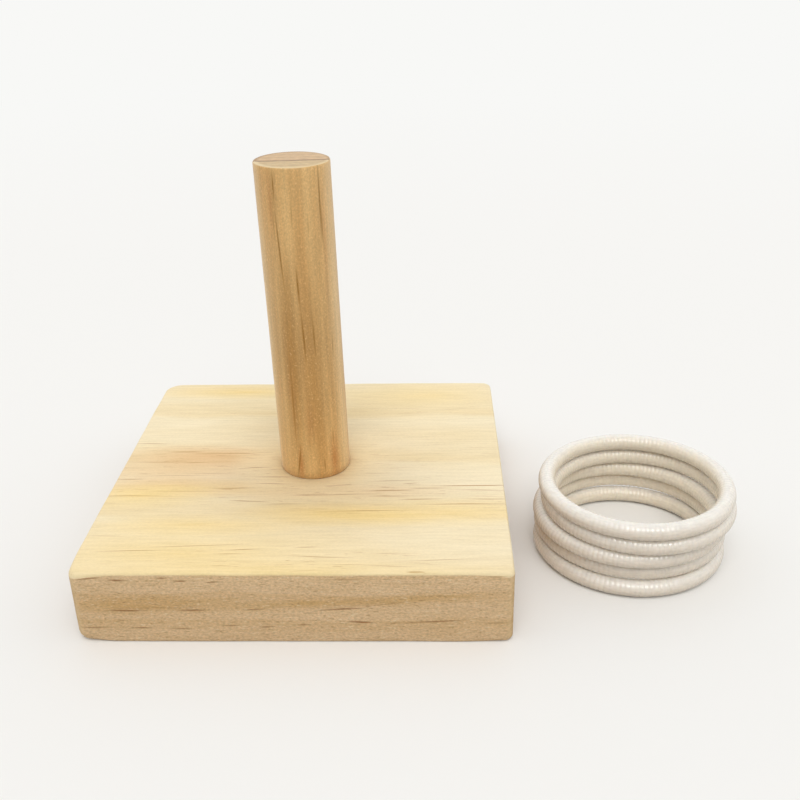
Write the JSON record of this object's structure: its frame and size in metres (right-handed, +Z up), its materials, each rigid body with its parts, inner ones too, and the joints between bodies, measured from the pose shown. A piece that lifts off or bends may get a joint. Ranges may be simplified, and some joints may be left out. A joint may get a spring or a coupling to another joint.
{
  "type": "ring toss toy",
  "caption": "Square wooden board with an upright round peg and loose ivory plastic rings stacked beside it, for threading or tossing onto the peg.",
  "frame": {"origin": "on the underside of the board, on the peg's axis", "axes": "+Z up along the peg, +X to the right towards the stack of rings, along the board's grain, +Y to the back"},
  "size_m": [0.158, 0.1, 0.099],
  "materials": {
    "pine": "planed and sanded pine, unvarnished, grain running left to right",
    "dowel": "turned pine dowel, lightly sanded, grain along its length",
    "zinc": "bright zinc-plated steel",
    "ring_plastic": "glossy moulded ivory plastic with a fine ripple round the ring"
  },
  "bodies": {
    "base": {"board": "pine", "peg": "dowel", "peg_screw": "zinc"},
    "ring_1": {"ring_1": "ring_plastic"},
    "ring_2": {"ring_2": "ring_plastic"},
    "ring_3": {"ring_3": "ring_plastic"},
    "ring_4": {"ring_4": "ring_plastic"},
    "ring_5": {"ring_5": "ring_plastic"}
  },
  "joints": [
    {"name": "ring_1_lift", "type": "slide", "parent": "base", "child": "ring_1", "axis": [0, 0, 1], "range_m": [0, 0.105]},
    {"name": "ring_2_lift", "type": "slide", "parent": "ring_1", "child": "ring_2", "axis": [0, 0, 1], "range_m": [0, 0.105]},
    {"name": "ring_3_lift", "type": "slide", "parent": "ring_2", "child": "ring_3", "axis": [0, 0, 1], "range_m": [0, 0.105]},
    {"name": "ring_4_lift", "type": "slide", "parent": "ring_3", "child": "ring_4", "axis": [0, 0, 1], "range_m": [0, 0.105]},
    {"name": "ring_5_lift", "type": "slide", "parent": "ring_4", "child": "ring_5", "axis": [0, 0, 1], "range_m": [0, 0.105]}
  ]
}
